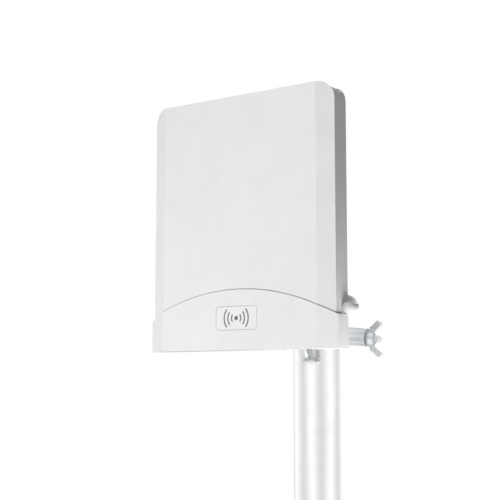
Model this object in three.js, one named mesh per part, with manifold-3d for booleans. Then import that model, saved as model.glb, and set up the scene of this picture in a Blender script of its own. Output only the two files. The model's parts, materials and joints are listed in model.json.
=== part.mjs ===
// Flat-panel directional antenna on a round mast, in millimetres.
// +Z is up along the mast axis, the antenna looks along -Y, and the origin is the centre of the mast's foot.
import * as THREE from "three";
import { mergeVertices } from "three/addons/utils/BufferGeometryUtils.js";
import Module from "manifold-3d";

const wasm = await Module();
wasm.setup();

// ---- driving dimensions ----
const GAP = 0.3; // air between touching pieces
const MAST_RADIUS = 25;
const MAST_WALL = 2.5;
const MAST_TOP = 250;
const PANEL_HALF = 103;
const PANEL_HEIGHT = 240;
const PANEL_BOTTOM = 170;
const PANEL_FRONT = -143;
const PANEL_DEPTH = 26.4;
const PANEL_CORNER = 15;
const SHOULDER_WIDTH = 16;
const SHOULDER_DROP = 6.5;
const SHELL_WALL = 2.5;
const COVER_WALL = 2.2;
const COVER_FLARE = 2.5; // how far the cover stands out past the side walls
const COVER_INSET = 3.2; // how far the radome steps back under the cover
const COVER_DEPTH = 23;
const ARCH_SIDE = 31.2; // height of the arched seam at the sides
const ARCH_TOP = 56.2; // and in the middle
const BAY_TOP = 27; // the connector bay is below this height
const CLAMP_Z = PANEL_BOTTOM + 17.6;
const SLEEVE_RADIUS = 28.4;
const YOKE_HALF = 41; // outer face of each yoke arm
const YOKE_FRONT = -35;
const YOKE_WALL = 3;
const YOKE_BOTTOM = CLAMP_Z - 10.2;
const YOKE_TALL = 18.6;
const BOLT_RADIUS = 4;
const CROSS_BOLT_Y = 33.5;
const CROSS_BOLT_Z = CLAMP_Z - 2.6;
const CROSS_BOLT_TIP = 55;
const PIVOT_Y = -70;
const LOCK_RADIUS = 26; // from the tilt pivot to the lock bolt
const NECK_HALF = 14;
const EAR_HALF = 18.6;
const EAR_WALL = 3;
const TILT_DOWN = 15;
const TILT_UP = 30;

// ---- derived places ----
const PANEL_REAR = PANEL_FRONT + PANEL_DEPTH;
const PANEL_TOP = PANEL_BOTTOM + PANEL_HEIGHT;
const GASKET_REAR = PANEL_REAR + GAP + 1;
const HOUSING_FRONT = GASKET_REAR + GAP;
const HOUSING_REAR = HOUSING_FRONT + 3;
const BRACKET_FRONT = HOUSING_REAR + 4 + GAP;
const BRACKET_REAR = BRACKET_FRONT + EAR_WALL;

// ---- materials ----
const finish = (color, roughness, metalness = 0) =>
  new THREE.MeshStandardMaterial({ color, roughness, metalness });
const whitePlastic = finish(0xeeeeee, 0.45);
const greyPlastic = finish(0x8a8f94, 0.5);
const blackRubber = finish(0x202224, 0.8);
const chrome = finish(0xd8dce0, 0.12, 1);
const zinc = finish(0xb9c2cc, 0.35, 1);
const aluminium = finish(0xc8ccd0, 0.4, 1);
const nickel = finish(0xd0cdc4, 0.25, 1);
const laminate = finish(0x3f6b4a, 0.6);

// ---- solids: every geometry becomes a manifold solid, so that pieces can be cut and joined ----
function solid(geometry) {
  const bare = geometry.clone();
  bare.deleteAttribute("normal");
  bare.deleteAttribute("uv");
  const merged = mergeVertices(bare, 1e-4);
  return new wasm.Manifold(
    new wasm.Mesh({
      numProp: 3,
      vertProperties: merged.attributes.position.array,
      triVerts: new Uint32Array(merged.index.array),
    }),
  );
}

function geometryOf(made) {
  const mesh = made.getMesh();
  const geometry = new THREE.BufferGeometry();
  geometry.setAttribute("position", new THREE.BufferAttribute(mesh.vertProperties, 3));
  geometry.setIndex(new THREE.BufferAttribute(mesh.triVerts, 1));
  geometry.computeVertexNormals();
  return geometry;
}

const joined = (pieces) => pieces.reduce((whole, piece) => whole.add(piece));
const cut = (body, tools) => tools.reduce((left, tool) => left.subtract(tool), body);

function box(x0, x1, y0, y1, z0, z1) {
  const geometry = new THREE.BoxGeometry(x1 - x0, y1 - y0, z1 - z0);
  return solid(geometry.translate((x0 + x1) / 2, (y0 + y1) / 2, (z0 + z1) / 2));
}

// A straight round bar between two coordinates of one axis, centred on the other two.
function bar(axis, radius, from, to, centre, sides = 24) {
  const geometry = new THREE.CylinderGeometry(radius, radius, to - from, sides);
  const middle = (from + to) / 2;
  if (axis === "x") geometry.rotateZ(-Math.PI / 2).translate(middle, centre[0], centre[1]);
  if (axis === "y") geometry.translate(centre[0], middle, centre[1]);
  if (axis === "z") geometry.rotateX(Math.PI / 2).translate(centre[0], centre[1], middle);
  return solid(geometry);
}

// Bars along Y at each (x, z) place.
const rearBars = (places, radius, from, to, sides = 12) =>
  places.map((place) => bar("y", radius, from, to, place, sides));

const tube = (axis, outer, inner, from, to, centre, sides = 24) =>
  bar(axis, outer, from, to, centre, sides).subtract(bar(axis, inner, from - 1, to + 1, centre, sides));

function shapeOf(points) {
  return new THREE.Shape(points.map(([a, b]) => new THREE.Vector2(a, b)));
}

const extruded = (shape, depth, curveSegments = 10) =>
  new THREE.ExtrudeGeometry(shape, { depth, bevelEnabled: false, curveSegments });

// A prism along Z of a plan outline, along Y of a front outline (x, z), or along X of a side outline (y, z).
const prismZ = (shape, z0, z1) => solid(extruded(shape, z1 - z0).translate(0, 0, z0));
const prismY = (shape, y0, y1, segments) =>
  solid(extruded(shape, y1 - y0, segments).rotateX(Math.PI / 2).translate(0, y1, 0));
const prismX = (shape, x0, x1, segments) =>
  solid(extruded(shape, x1 - x0, segments).rotateY(Math.PI / 2).rotateX(Math.PI / 2).translate(x0, 0, 0));

// ---- the panel's outlines ----
// Plan of the panel, pulled in by inset: flat front, two sloping shoulders, straight side walls.
function panelPlan(inset, rear) {
  const half = PANEL_HALF - inset;
  const flat = PANEL_HALF - SHOULDER_WIDTH - inset * 0.6;
  const front = PANEL_FRONT + inset;
  const edge = PANEL_FRONT + SHOULDER_DROP + inset * 0.7;
  return shapeOf([[-half, rear], [-half, edge], [-flat, front], [flat, front], [half, edge], [half, rear]]);
}

// Front outline of the panel with round top corners.
function frontOutline(inset, bottom) {
  const half = PANEL_HALF - inset;
  const top = PANEL_TOP - inset;
  const corner = Math.max(PANEL_CORNER - inset, 3);
  const shape = new THREE.Shape();
  shape.moveTo(-half, bottom);
  shape.lineTo(half, bottom);
  shape.lineTo(half, top - corner);
  shape.absarc(half - corner, top - corner, corner, 0, Math.PI / 2, false);
  shape.lineTo(-half + corner, top);
  shape.absarc(-half + corner, top - corner, corner, Math.PI / 2, Math.PI, false);
  shape.closePath();
  return shape;
}

const panelBody = (inset, bottom, rear) =>
  prismZ(panelPlan(inset, rear), bottom, PANEL_TOP + 1).intersect(
    prismY(frontOutline(inset, bottom), PANEL_FRONT - 5, rear + 5, 8),
  );

// The arched seam is one circle arc through both side heights and the middle height.
const archRise = ARCH_TOP - ARCH_SIDE;
const archRadius = (PANEL_HALF ** 2 + archRise ** 2) / (2 * archRise);
const archCentre = PANEL_BOTTOM + ARCH_TOP - archRadius;
const archHeight = (x, lift) => archCentre + Math.sqrt((archRadius + lift) ** 2 - x * x);

// Everything below the arch, from bottom up; lift raises the arch.
function underArch(half, bottom, lift, y0, y1) {
  const steps = 28;
  const points = [[-half, bottom], [half, bottom]];
  for (let i = 0; i <= steps; i += 1) {
    const x = half * (1 - (2 * i) / steps);
    points.push([x, archHeight(x, lift)]);
  }
  return prismY(shapeOf(points), y0, y1);
}

// ---- panel shells ----
function radome() {
  const bayRoof = PANEL_BOTTOM + BAY_TOP;
  const far = PANEL_FRONT - 6;
  const upper = panelBody(0, PANEL_BOTTOM, PANEL_REAR).subtract(
    underArch(PANEL_HALF + 5, PANEL_BOTTOM - 5, GAP, far, PANEL_REAR + 5),
  );
  const apron = panelBody(COVER_INSET, bayRoof, PANEL_REAR);
  const upperHollow = panelBody(SHELL_WALL, PANEL_BOTTOM, PANEL_REAR + 5).subtract(
    underArch(PANEL_HALF + 5, PANEL_BOTTOM - 5, GAP + SHELL_WALL, far, PANEL_REAR + 10),
  );
  const apronHollow = panelBody(COVER_INSET + SHELL_WALL, bayRoof + SHELL_WALL, PANEL_REAR + 5);
  const bossLimit = panelBody(SHELL_WALL / 2, PANEL_BOTTOM, PANEL_REAR - GAP);
  const bosses = rearBars(screwPlaces(), 4, PANEL_FRONT, PANEL_REAR).map((boss) => boss.intersect(bossLimit));
  const shell = cut(joined([upper, apron]), [upperHollow, apronHollow]);
  const socketHole = bar("z", 6.4, bayRoof - 5, bayRoof + 8, [COAX_X, BAY_Y], 20);
  const glandHole = bar("x", 3.7, PANEL_HALF - 8, PANEL_HALF + 5, [SIDE_GLAND_Y, SIDE_GLAND_Z], 16);
  const screwHoles = rearBars(screwPlaces(), 1.6, PANEL_REAR - 12, PANEL_REAR + 5);
  return cut(joined([shell, ...bosses]), [socketHole, glandHole, ...screwHoles]);
}

const COAX_X = -30;
const BAY_Y = PANEL_FRONT + 14;
const SIDE_GLAND_Y = PANEL_REAR - 5.2;
const SIDE_GLAND_Z = PANEL_BOTTOM + 36.2;

// Screw places round the rear housing's rim.
function screwPlaces() {
  const side = PANEL_HALF - 9;
  const places = [];
  for (const x of [-side, side]) {
    for (const height of [50, 134, 222]) places.push([x, PANEL_BOTTOM + height]);
  }
  for (const x of [-32, 32]) places.push([x, PANEL_TOP - 9]);
  return places;
}

// Plan of the service cover: the panel's plan, wider by the flare.
function coverPlan(inset, rear) {
  const half = PANEL_HALF + COVER_FLARE - inset;
  const flat = PANEL_HALF - SHOULDER_WIDTH - inset * 0.6;
  const front = PANEL_FRONT - 0.6 + inset;
  const edge = PANEL_FRONT + SHOULDER_DROP - 0.6 + inset * 0.7;
  return shapeOf([[-half, rear], [-half, edge], [-flat, front], [flat, front], [half, edge], [half, rear]]);
}

function serviceCover() {
  const rear = PANEL_FRONT + COVER_DEPTH;
  const far = PANEL_FRONT - 6;
  const bottom = PANEL_BOTTOM;
  const half = PANEL_HALF + 6;
  const outer = prismZ(coverPlan(0, rear), bottom, bottom + 70).intersect(
    underArch(half, bottom, -GAP, far, rear + 5),
  );
  const inner = prismZ(coverPlan(COVER_WALL, rear + 5), bottom + COVER_WALL, bottom + 75);
  const recess = roundedBox(0, bottom + 29.35, 23.2, 11.1, PANEL_FRONT - 2, PANEL_FRONT + 0.4);
  const leadSlot = box(40, 70, PANEL_FRONT + 12, rear + 2, bottom - 1, bottom + COVER_WALL + 1);
  return cut(outer, [inner, recess, leadSlot]);
}

// A thin block with round corners, standing in the XZ plane.
function roundedBox(x, z, halfWide, halfTall, y0, y1, corner = 3) {
  const shape = new THREE.Shape();
  shape.moveTo(x - halfWide + corner, z - halfTall);
  shape.absarc(x + halfWide - corner, z - halfTall + corner, corner, -Math.PI / 2, 0, false);
  shape.absarc(x + halfWide - corner, z + halfTall - corner, corner, 0, Math.PI / 2, false);
  shape.absarc(x - halfWide + corner, z + halfTall - corner, corner, Math.PI / 2, Math.PI, false);
  shape.absarc(x - halfWide + corner, z - halfTall + corner, corner, Math.PI, 1.5 * Math.PI, false);
  shape.closePath();
  return prismY(shape, y0, y1, 4);
}

const badgePlate = () =>
  roundedBox(0, PANEL_BOTTOM + 29.35, 22.9, 10.8, PANEL_FRONT - 0.5, PANEL_FRONT + 0.1, 2.7);

function rearHousing() {
  const inset = 2.5;
  const bottom = PANEL_BOTTOM + BAY_TOP + 1;
  const outline = (by) => frontOutline(inset + by, bottom + by);
  const plate = prismY(outline(0), HOUSING_FRONT, HOUSING_REAR, 8);
  const rim = prismY(outline(6), HOUSING_REAR - 1, HOUSING_REAR + 4, 8).subtract(
    prismY(outline(9), HOUSING_REAR - 2, HOUSING_REAR + 5, 8),
  );
  const wallHalf = PANEL_HALF - 8;
  const bayWall = box(-wallHalf, wallHalf, HOUSING_FRONT, HOUSING_REAR, PANEL_BOTTOM + 2, bottom + 2);
  const ribs = [];
  for (const x of [-60, -30, 30, 60]) {
    ribs.push(box(x - 1.2, x + 1.2, HOUSING_REAR - 1, HOUSING_REAR + 4, bottom + 6, PANEL_TOP - 9));
  }
  for (const height of [90, 140, 190]) {
    const z = PANEL_BOTTOM + height;
    ribs.push(box(-PANEL_HALF + 9, PANEL_HALF - 9, HOUSING_REAR - 1, HOUSING_REAR + 4, z - 1.2, z + 1.2));
  }
  const pad = box(-44, 44, HOUSING_REAR - 1, HOUSING_REAR + 4, PANEL_BOTTOM + 2, PANEL_BOTTOM + 60);
  const pads = rearBars(screwPlaces(), 5, HOUSING_REAR - 1, HOUSING_REAR + 2, 16);
  const holes = rearBars(screwPlaces(), 2.2, HOUSING_FRONT - 5, HOUSING_REAR + 9);
  const headRooms = rearBars(screwPlaces(), 4.2, HOUSING_REAR + 2, HOUSING_REAR + 9, 16);
  const bracketHoles = rearBars(bracketScrewPlaces(), 2.4, HOUSING_REAR - 1, HOUSING_REAR + 9);
  const glandHole = bar("y", 3.7, HOUSING_FRONT - 5, HOUSING_REAR + 9, [REAR_GLAND_X, REAR_GLAND_Z], 16);
  const ventHole = bar("y", 3.2, HOUSING_FRONT - 5, HOUSING_REAR + 9, [VENT_X, VENT_Z], 16);
  return cut(joined([plate, rim, bayWall, ...ribs, pad, ...pads]), [
    ...holes, ...headRooms, ...bracketHoles, glandHole, ventHole,
  ]);
}

const REAR_GLAND_X = 74;
const REAR_GLAND_Z = PANEL_BOTTOM + 58;
const VENT_X = -75;
const VENT_Z = PANEL_BOTTOM + 66;

function housingGasket() {
  const bottom = PANEL_BOTTOM + BAY_TOP + 1;
  const ring = prismY(frontOutline(2.5, bottom), PANEL_REAR + GAP, GASKET_REAR, 8);
  const opening = prismY(frontOutline(5, bottom + 2.5), PANEL_REAR, GASKET_REAR + 1, 8);
  return ring.subtract(opening);
}

function housingScrew([x, z]) {
  const head = bar("y", 3.6, HOUSING_REAR + 2 + GAP, HOUSING_REAR + 4.4, [x, z], 16);
  const shank = bar("y", 1.3, PANEL_REAR - 9, HOUSING_REAR + 3, [x, z], 12);
  const drive = bar("y", 1.5, HOUSING_REAR + 3.2, HOUSING_REAR + 6, [x, z], 6);
  return joined([head, shank]).subtract(drive);
}

// ---- inside the radome ----
const REFLECTOR_Y = PANEL_REAR - 3;
const BOARD_Y = REFLECTOR_Y - 6;
const PATCH_Y = BOARD_Y - 5;
const CENTRE_Z = PANEL_BOTTOM + 140;
// Four places round the middle of the radome, as (x, z).
const fourPlaces = (across, up) =>
  [[-1, -1], [1, -1], [-1, 1], [1, 1]].map(([sideX, sideZ]) => [sideX * across, CENTRE_Z + sideZ * up]);
const SPACER_PLACES = fourPlaces(62, 72);
const PATCH_PLACES = fourPlaces(38, 42);

function reflectorPlate() {
  const plate = box(-84, 84, REFLECTOR_Y - 1.2, REFLECTOR_Y, CENTRE_Z - 82, CENTRE_Z + 82);
  return cut(plate, rearBars(SPACER_PLACES, 1.7, REFLECTOR_Y - 5, REFLECTOR_Y + 5));
}

function feedBoard() {
  return box(-70, 70, BOARD_Y - 1.6, BOARD_Y, CENTRE_Z - 80, CENTRE_Z + 80);
}

function boardSpacer(at) {
  const post = bar("y", 3, BOARD_Y + GAP, REFLECTOR_Y - 1.2 - GAP, at, 12);
  const pin = bar("y", 1.3, REFLECTOR_Y - 2, REFLECTOR_Y + 1.5, at, 12);
  return joined([post, pin]);
}

function patchElement([x, z]) {
  const half = 22;
  const square = box(x - half, x + half, PATCH_Y - 1, PATCH_Y, z - half, z + half);
  const post = bar("y", 2, PATCH_Y - 0.5, BOARD_Y - 1.6 - GAP, [x, z], 12);
  return joined([square, post]);
}

// ---- connector bay ----
function coaxSocket() {
  const roof = PANEL_BOTTOM + BAY_TOP;
  const at = [COAX_X, BAY_Y];
  const flange = bar("z", 8.2, roof - 2.6, roof - GAP, at, 24);
  const barrel = bar("z", 5.2, roof - 15, roof - 1, at, 24);
  const stem = bar("z", 6, roof - 1, roof + 7.6, at, 24);
  const bore = bar("z", 3.6, roof - 16, roof - 6, at, 16);
  const pin = bar("z", 0.8, roof - 14, roof - 5, at, 8);
  return joined([cut(joined([flange, barrel, stem]), [bore]), pin]);
}

function coaxNut() {
  const roof = PANEL_BOTTOM + BAY_TOP;
  return tube("z", 8, 6.3, roof + SHELL_WALL + GAP, roof + SHELL_WALL + 3.6, [COAX_X, BAY_Y], 12);
}

function ventPlug() {
  const cap = bar("y", 6.5, HOUSING_REAR + GAP, HOUSING_REAR + 4, [VENT_X, VENT_Z], 20);
  const stem = bar("y", 2.9, HOUSING_FRONT - 2, HOUSING_REAR + 1, [VENT_X, VENT_Z], 16);
  return joined([cap, stem]);
}

// ---- the captive lead: out of the side wall, round the rear edge, and back into the rear housing ----
const LEAD_RADIUS = 3.8;
const BOOT_RADIUS = 4.8;
const BOOT_REACH = 2.5; // from the boot's corner to the lead's end
const SIDE_CORNER = [PANEL_HALF + 5.1, SIDE_GLAND_Y, SIDE_GLAND_Z];
const REAR_CORNER = [REAR_GLAND_X, HOUSING_REAR + 12, REAR_GLAND_Z];
const REAR_LEAN = [0.85, 0, -0.527]; // direction from the rear boot towards the lead
const rearPoint = (reach) => REAR_CORNER.map((value, i) => value + REAR_LEAN[i] * reach);
const LEAD_ROUTE = [
  [SIDE_CORNER[0], SIDE_CORNER[1] + BOOT_REACH, SIDE_CORNER[2]],
  [SIDE_CORNER[0], SIDE_CORNER[1] + BOOT_REACH + 4, SIDE_CORNER[2]],
  [PANEL_HALF + 3.2, SIDE_GLAND_Y + 12.5, SIDE_GLAND_Z + 2],
  [PANEL_HALF - 3.2, SIDE_GLAND_Y + 18, SIDE_GLAND_Z + 7],
  rearPoint(20),
  rearPoint(12),
  rearPoint(BOOT_REACH),
];

// The lead's jacket along its route, each end longer by extra.
function leadSolid(radius, extra) {
  const route = LEAD_ROUTE.map((point) => new THREE.Vector3(...point));
  const last = route.length - 1;
  route[0].y -= extra;
  route[last].addScaledVector(new THREE.Vector3(...REAR_LEAN), -extra);
  const section = new THREE.Shape();
  section.absarc(0, 0, radius, 0, 2 * Math.PI, false);
  const extrudePath = new THREE.CatmullRomCurve3(route);
  return solid(new THREE.ExtrudeGeometry(section, { steps: 16, extrudePath, curveSegments: 6 }));
}

const pigtailLead = () => leadSolid(LEAD_RADIUS, 0);

// A round rod between two points.
function rod(from, to, radius, sides = 16) {
  const start = new THREE.Vector3(...from);
  const along = new THREE.Vector3(...to).sub(start);
  const length = along.length();
  const geometry = new THREE.CylinderGeometry(radius, radius, length, sides).translate(0, length / 2, 0);
  const turn = new THREE.Quaternion().setFromUnitVectors(new THREE.Vector3(0, 1, 0), along.normalize());
  geometry.applyQuaternion(turn);
  return solid(geometry.translate(start.x, start.y, start.z));
}

// A rubber elbow from a wall to the lead: two rods that meet in a ball, hollow where the lead enters.
function elbowBoot(wall, corner, end) {
  const ball = solid(new THREE.SphereGeometry(BOOT_RADIUS, 16, 10).translate(...corner));
  const elbow = joined([rod(wall, corner, BOOT_RADIUS), ball, rod(corner, end, BOOT_RADIUS)]);
  return elbow.subtract(leadSolid(LEAD_RADIUS + GAP, GAP));
}

function sideGland() {
  const wall = [PANEL_HALF + GAP, SIDE_GLAND_Y, SIDE_GLAND_Z];
  const end = [SIDE_CORNER[0], SIDE_CORNER[1] + BOOT_REACH + 3, SIDE_CORNER[2]];
  const stem = bar("x", 3.4, PANEL_HALF - 6, PANEL_HALF + 1, [SIDE_GLAND_Y, SIDE_GLAND_Z], 16);
  return joined([elbowBoot(wall, SIDE_CORNER, end), stem]);
}

function rearGland() {
  const at = [REAR_GLAND_X, REAR_GLAND_Z];
  const wall = [REAR_GLAND_X, HOUSING_REAR + 3, REAR_GLAND_Z];
  const flange = bar("y", 7.5, HOUSING_REAR + GAP, HOUSING_REAR + 4, at, 24);
  const stem = bar("y", 3.4, HOUSING_FRONT - 2, HOUSING_REAR + 2, at, 16);
  return joined([elbowBoot(wall, REAR_CORNER, rearPoint(BOOT_REACH + 3)), flange, stem]);
}

// ---- tilt bracket on the panel's back ----
const bracketScrewPlaces = () => [-32, 32].flatMap((x) => [[x, CLAMP_Z - 6], [x, CLAMP_Z + 32]]);
const onCircle = (radius, degrees) => [
  PIVOT_Y + radius * Math.cos((degrees * Math.PI) / 180),
  CLAMP_Z + radius * Math.sin((degrees * Math.PI) / 180),
];

// Points of an arc round the tilt pivot; angles run from +Y towards +Z.
function pivotArc(radius, from, to, steps) {
  return Array.from({ length: steps + 1 }, (unused, i) => onCircle(radius, from + ((to - from) * i) / steps));
}

function ear(x0, x1) {
  const reach = LOCK_RADIUS + 11;
  const outline = shapeOf([
    [BRACKET_FRONT, CLAMP_Z - 11.5],
    [PIVOT_Y, CLAMP_Z - 11.5],
    ...pivotArc(11.5, -75, 30, 7),
    ...pivotArc(reach, 62, 133, 9),
    [BRACKET_FRONT, CLAMP_Z + 38],
  ]);
  const low = 90 - TILT_DOWN - 1;
  const high = 90 + TILT_UP + 1;
  const wide = BOLT_RADIUS + 0.4;
  const slot = shapeOf([
    ...pivotArc(LOCK_RADIUS + wide, low, high, 10),
    ...pivotArc(LOCK_RADIUS - wide, high, low, 10),
  ]);
  const ends = [low, high].map((angle) => bar("x", wide, x0 - 1, x1 + 1, onCircle(LOCK_RADIUS, angle), 16));
  const pivotHole = bar("x", BOLT_RADIUS + 0.4, x0 - 1, x1 + 1, [PIVOT_Y, CLAMP_Z], 20);
  return cut(prismX(outline, x0, x1), [prismX(slot, x0 - 1, x1 + 1), ...ends, pivotHole]);
}

function tiltBracket() {
  const base = roundedBox(0, CLAMP_Z + 13, 42, 27, BRACKET_FRONT, BRACKET_REAR, 6);
  const holes = rearBars(bracketScrewPlaces(), 2.8, BRACKET_FRONT - 1, BRACKET_REAR + 1, 16);
  const ears = [ear(-EAR_HALF, -EAR_HALF + EAR_WALL), ear(EAR_HALF - EAR_WALL, EAR_HALF)];
  return cut(joined([base, ...ears]), holes);
}

function bracketScrew([x, z]) {
  const head = bar("y", 5, BRACKET_REAR + GAP, BRACKET_REAR + 4, [x, z], 20);
  const shank = bar("y", 2.1, HOUSING_REAR, BRACKET_REAR + 1, [x, z], 12);
  const drive = bar("y", 2.2, BRACKET_REAR + 2, BRACKET_REAR + 6, [x, z], 6);
  return joined([head, shank]).subtract(drive);
}

// ---- yoke: one strip bent round the mast, with pressed ribs, and a neck that carries the tilt pivot ----
function mastYoke() {
  const z0 = YOKE_BOTTOM;
  const z1 = YOKE_BOTTOM + YOKE_TALL;
  const bend = 9;
  const strip = (half, front, corner, over) => {
    const shape = new THREE.Shape();
    shape.moveTo(-half, CROSS_BOLT_Y + 30);
    shape.lineTo(-half, front + corner);
    shape.absarc(-half + corner, front + corner, corner, Math.PI, 1.5 * Math.PI, false);
    shape.lineTo(half - corner, front);
    shape.absarc(half - corner, front + corner, corner, 1.5 * Math.PI, 2 * Math.PI, false);
    shape.lineTo(half, CROSS_BOLT_Y + 30);
    shape.closePath();
    return prismZ(shape, z0 - over, z1 + over);
  };
  const corner = 4;
  const end = CROSS_BOLT_Y + 7.5;
  const ends = joined([
    bar("x", corner, -60, 60, [end - corner, z0 + corner], 24),
    bar("x", corner, -60, 60, [end - corner, z1 - corner], 24),
    box(-60, 60, end - corner - 1, end, z0 + corner, z1 - corner),
    box(-60, 60, YOKE_FRONT - 1, end - corner, z0 - 1, z1 + 1),
  ]);
  const body = strip(YOKE_HALF, YOKE_FRONT, bend, 0)
    .subtract(strip(YOKE_HALF - YOKE_WALL, YOKE_FRONT + YOKE_WALL, bend - YOKE_WALL, 1))
    .intersect(ends);
  const ribs = [];
  for (const side of [-1, 1]) {
    for (const height of [3.6, 9.4, 15.2]) {
      const x = side * YOKE_HALF;
      ribs.push(box(x - 0.8, x + 0.8, -20, 22, z0 + height - 1.2, z0 + height + 1.2));
    }
  }
  const boltHole = bar("x", BOLT_RADIUS + 0.35, -60, 60, [CROSS_BOLT_Y, CROSS_BOLT_Z], 20);
  return joined([body, ...ribs]).subtract(boltHole);
}

function yokeNeck() {
  const rear = YOKE_FRONT - GAP;
  const web = box(-NECK_HALF, NECK_HALF, rear - 3, rear, CLAMP_Z - 9, CLAMP_Z + 13);
  const cheeks = [-1, 1].map((side) => {
    const x0 = side > 0 ? NECK_HALF - 3 : -NECK_HALF;
    const outline = shapeOf([
      [rear, CLAMP_Z - 9],
      [rear, CLAMP_Z + 14],
      ...pivotArc(LOCK_RADIUS + 8.5, 72, 106, 6),
      ...pivotArc(10, 160, 280, 10),
    ]);
    const holes = [[PIVOT_Y, CLAMP_Z], onCircle(LOCK_RADIUS, 90)].map((at) =>
      bar("x", BOLT_RADIUS + 0.3, x0 - 1, x0 + 4, at, 20),
    );
    return cut(prismX(outline, x0, x0 + 3), holes);
  });
  return joined([web, ...cheeks]);
}

// A hexagon-headed bolt along X, head on the -X side.
function hexBolt([y, z], headFace, tipFace, headTall = 5) {
  const head = bar("x", 7.4, headFace - headTall, headFace, [y, z], 6);
  const shank = bar("x", BOLT_RADIUS, headFace - 1, tipFace, [y, z], 20);
  return joined([head, shank]);
}

function hexNut(at, face) {
  const bore = bar("x", BOLT_RADIUS + 0.25, face - 1, face + 8, at, 20);
  return bar("x", 7.4, face, face + 6.2, at, 6).subtract(bore);
}

const washer = ([y, z], face, outer = 8) => tube("x", outer, BOLT_RADIUS + 0.3, face, face + 1.4, [y, z], 24);

const crossBolt = () => hexBolt([CROSS_BOLT_Y, CROSS_BOLT_Z], -YOKE_HALF - GAP, CROSS_BOLT_TIP);

// A block between the yoke's arm and the round grip sleeve, hollowed to the sleeve.
function jawBlock(side) {
  const outer = YOKE_HALF - YOKE_WALL - GAP;
  const [x0, x1] = side > 0 ? [22, outer] : [-outer, -22];
  const block = box(x0, x1, -15, 15, CLAMP_Z - 8, CLAMP_Z + 8);
  return block.subtract(bar("z", SLEEVE_RADIUS + GAP, CLAMP_Z - 20, CLAMP_Z + 20, [0, 0], 48));
}

// A cast wing nut: a low conical hub and two round-ended wings that spread away from the clamp.
function wingNut() {
  const at = [CROSS_BOLT_Y, CROSS_BOLT_Z];
  const x0 = YOKE_HALF + GAP + 1.4 + GAP;
  const cone = new THREE.CylinderGeometry(5.6, 7.6, 5.4, 24).rotateZ(-Math.PI / 2);
  const hub = solid(cone.translate(x0 + 2.7, ...at));
  const wingWide = 3.4;
  const room = box(x0, x0 + 30, -20, 80, 100, 260);
  const wings = [1, -1].map((side) => {
    const root = [x0 + 0.8, side * 7.4];
    const tip = [x0 + 10.2, side * 15.4];
    const across = Math.atan2(tip[1] - root[1], tip[0] - root[0]) + Math.PI / 2;
    const shape = new THREE.Shape();
    shape.absarc(...root, wingWide, across, across + Math.PI, false);
    shape.absarc(...tip, wingWide, across + Math.PI, across + 2 * Math.PI, false);
    shape.closePath();
    const wing = solid(extruded(shape, 4, 12).rotateX(Math.PI / 2).translate(0, at[0] + 2, at[1]));
    return wing.intersect(room);
  });
  const turned = joined([hub, ...wings]);
  return turned.subtract(bar("x", BOLT_RADIUS + 0.25, x0 - 5, x0 + 40, at, 20));
}

// ---- grip sleeve and mast ----
function gripSleeve(side) {
  const ring = tube("z", SLEEVE_RADIUS, MAST_RADIUS + GAP, CLAMP_Z - 10, CLAMP_Z + 16, [0, 0], 48);
  const half = side > 0 ? box(0.8, 40, -40, 40, 0, 400) : box(-40, -0.8, -40, 40, 0, 400);
  return ring.intersect(half);
}

const mastTube = () =>
  tube("z", MAST_RADIUS, MAST_RADIUS - MAST_WALL, 4 + GAP, MAST_TOP, [0, 0], 64);

function mastPlug(faceFrom, faceTo, stemFrom, stemTo) {
  return joined([
    bar("z", MAST_RADIUS, faceFrom, faceTo, [0, 0], 48),
    bar("z", MAST_RADIUS - MAST_WALL - GAP, stemFrom, stemTo, [0, 0], 48),
  ]);
}

// ---- the assembly ----
const antenna = new THREE.Group();
function place(name, made, material) {
  const mesh = new THREE.Mesh(geometryOf(made), material);
  mesh.name = name;
  antenna.add(mesh);
}
function placeAll(name, places, make, material) {
  places.forEach((at, i) => place(`${name}_${i + 1}`, make(at), material));
}

const pivotAt = [PIVOT_Y, CLAMP_Z];
const lockAt = onCircle(LOCK_RADIUS, 90);
const crossAt = [CROSS_BOLT_Y, CROSS_BOLT_Z];

place("mast_tube", mastTube(), chrome);
place("mast_foot_plug", mastPlug(0, 4, 3, 22), blackRubber);
place("mast_cap", mastPlug(MAST_TOP + GAP, MAST_TOP + 3, MAST_TOP - 14, MAST_TOP + 1), blackRubber);
place("grip_sleeve_right", gripSleeve(1), blackRubber);
place("grip_sleeve_left", gripSleeve(-1), blackRubber);
place("mast_yoke", mastYoke(), zinc);
place("yoke_neck", yokeNeck(), zinc);
place("jaw_block_right", jawBlock(1), zinc);
place("jaw_block_left", jawBlock(-1), zinc);
place("cross_bolt", crossBolt(), zinc);
place("wing_washer", washer(crossAt, YOKE_HALF + GAP), zinc);
place("wing_nut", wingNut(), zinc);
place("tilt_bracket", tiltBracket(), zinc);
placeAll("bracket_screw", bracketScrewPlaces(), bracketScrew, zinc);
place("pivot_bolt", hexBolt(pivotAt, -EAR_HALF - GAP, 30), zinc);
place("pivot_nut", hexNut(pivotAt, EAR_HALF + GAP), zinc);
place("lock_bolt", hexBolt(lockAt, -EAR_HALF - GAP, 30), zinc);
place("lock_washer", washer(lockAt, EAR_HALF + GAP), zinc);
place("lock_nut", hexNut(lockAt, EAR_HALF + 2 * GAP + 1.4), zinc);
place("radome", radome(), whitePlastic);
place("service_cover", serviceCover(), whitePlastic);
place("badge_plate", badgePlate(), whitePlastic);
place("rear_housing", rearHousing(), whitePlastic);
place("housing_gasket", housingGasket(), blackRubber);
placeAll("housing_screw", screwPlaces(), housingScrew, zinc);
place("reflector_plate", reflectorPlate(), aluminium);
place("feed_board", feedBoard(), laminate);
placeAll("board_spacer", SPACER_PLACES, boardSpacer, whitePlastic);
placeAll("patch_element", PATCH_PLACES, patchElement, aluminium);
place("coax_socket", coaxSocket(), nickel);
place("coax_nut", coaxNut(), nickel);
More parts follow.
